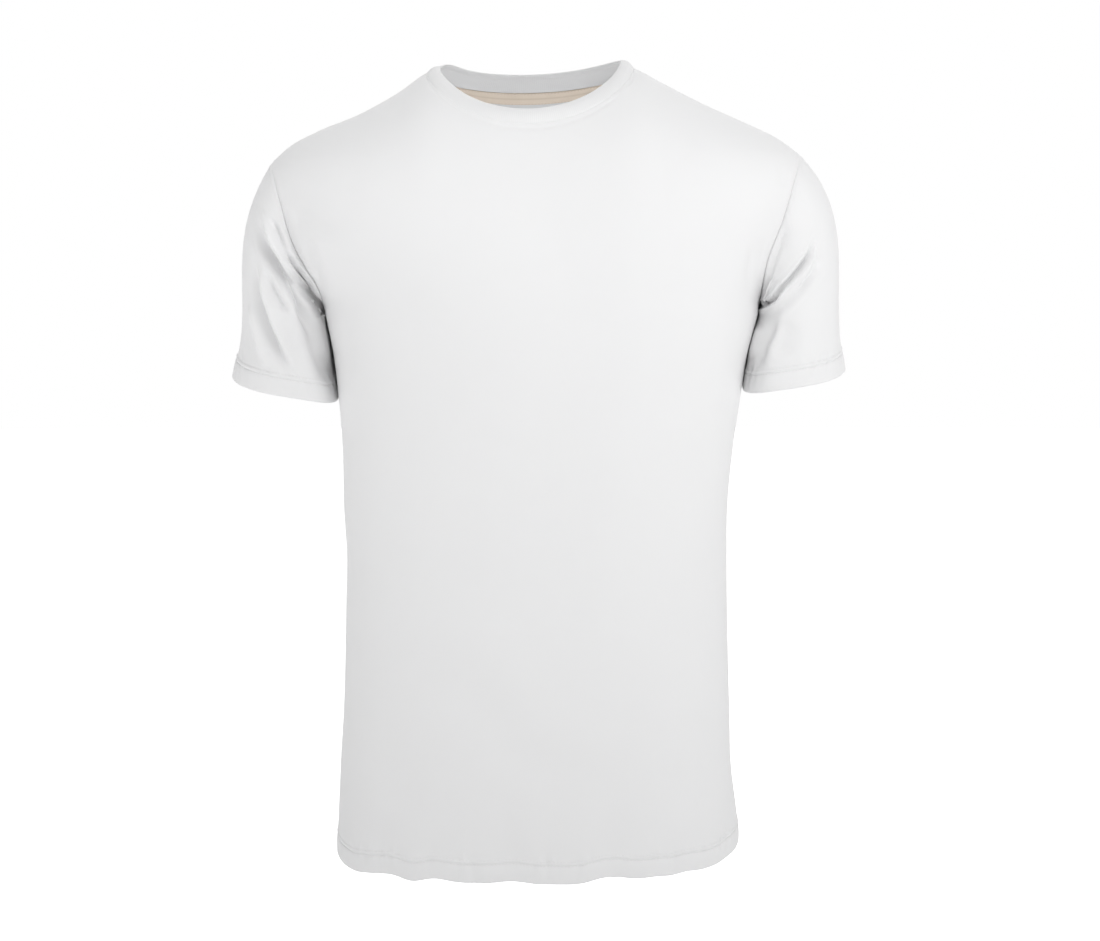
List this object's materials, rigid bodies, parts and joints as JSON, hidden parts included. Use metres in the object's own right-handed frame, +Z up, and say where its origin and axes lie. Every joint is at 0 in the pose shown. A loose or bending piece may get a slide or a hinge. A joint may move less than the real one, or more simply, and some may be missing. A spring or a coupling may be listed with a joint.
{
  "type": "crew neck t-shirt",
  "caption": "Short-sleeved crew neck t-shirt, filled out as if worn, hollow, open at neck, cuffs and hem, with a rib neckband and a taped back neck.",
  "frame": {"origin": "between the two high shoulder points at the neck, where the shoulders of the wearer hold the shirt up", "axes": "+Z up along the body, the front faces -Y, +X to the wearer's left"},
  "size_m": [0.5415, 0.2425, 0.7057],
  "materials": {
    "jersey": "white cotton jersey, matt",
    "rib": "white cotton rib, matt",
    "tape": "plain beige woven tape, matt"
  },
  "bodies": {
    "root": {"front_panel": "jersey", "back_panel": "jersey", "right_sleeve": "jersey", "left_sleeve": "jersey", "neckband": "rib", "back_neck_tape": "tape"}
  },
  "joints": []
}
